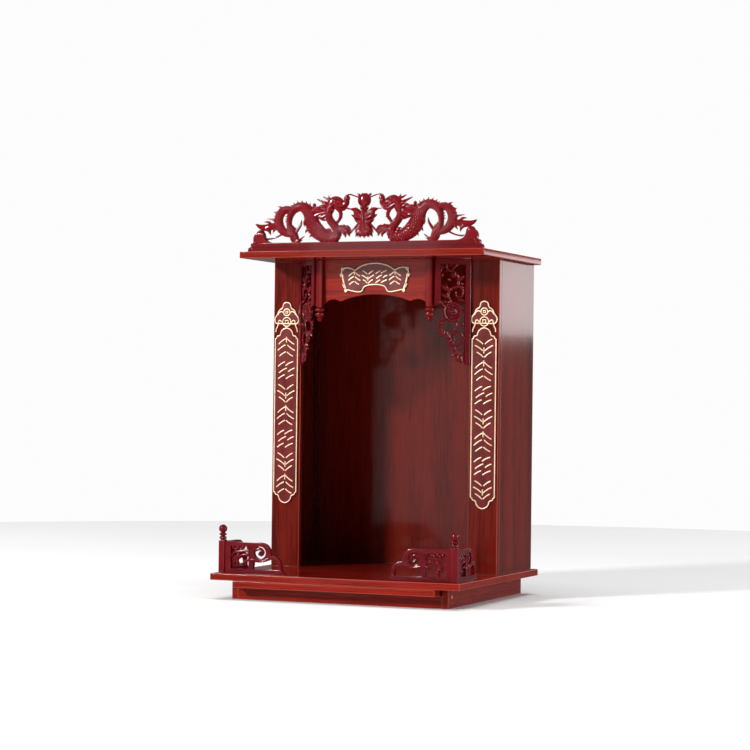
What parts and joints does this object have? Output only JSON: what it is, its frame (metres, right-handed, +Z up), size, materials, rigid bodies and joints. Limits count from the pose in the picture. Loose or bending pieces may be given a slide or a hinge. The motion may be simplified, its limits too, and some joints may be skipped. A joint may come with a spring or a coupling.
{
  "type": "household altar cabinet",
  "caption": "Lacquered open-fronted altar cabinet on a plinth, with a two-dragon crest, hanging openwork canopy, corner rails, gilt plaques and a pull-out board.",
  "frame": {"origin": "middle of the footprint, on the surface that the plinth stands on", "axes": "+Z up, X along the front, -Y out of the open front"},
  "size_m": [0.48, 0.42, 0.7375],
  "materials": {
    "lacquered_board": "high-gloss rosewood-red lacquer over fine straight grain",
    "board_edge": "gloss red-brown lacquer, grain along the board",
    "carved_crest": "bright glossy red lacquer over deep carving",
    "carved_fret": "dark purplish red gloss lacquer over openwork",
    "gilt_plaque": "red lacquer plate with pale gold raised rim and strokes",
    "screw_plug": "small pale plug"
  },
  "bodies": {
    "cabinet": {"plinth_front": "lacquered_board", "plinth_back": "lacquered_board", "plinth_left": "lacquered_board", "plinth_right": "lacquered_board", "base_board": "lacquered_board", "side_panel_left": "lacquered_board", "side_panel_right": "lacquered_board", "back_panel": "lacquered_board", "pilaster_left": "lacquered_board", "pilaster_right": "lacquered_board", "top_board": "lacquered_board", "lintel_board": "lacquered_board", "hanging_post_left": "lacquered_board", "hanging_post_right": "lacquered_board", "runner_left": "board_edge", "runner_right": "board_edge", "dragon_crest": "carved_crest", "bracket_left": "carved_fret", "bracket_right": "carved_fret", "rail_post_left": "carved_fret", "rail_post_right": "carved_fret", "rail_front_left": "carved_fret", "rail_front_right": "carved_fret", "rail_side_left": "carved_fret", "rail_side_right": "carved_fret", "couplet_plaque_left": "gilt_plaque", "couplet_plaque_right": "gilt_plaque", "lintel_plaque": "gilt_plaque", "screw_cap_left": "screw_plug", "screw_cap_right": "screw_plug"},
    "pull_out": {"pull_out_board": "board_edge"}
  },
  "joints": [
    {"name": "pull_out_slide", "type": "slide", "parent": "cabinet", "child": "pull_out", "axis": [0, -1, 0], "range_m": [0, 0.2]}
  ]
}
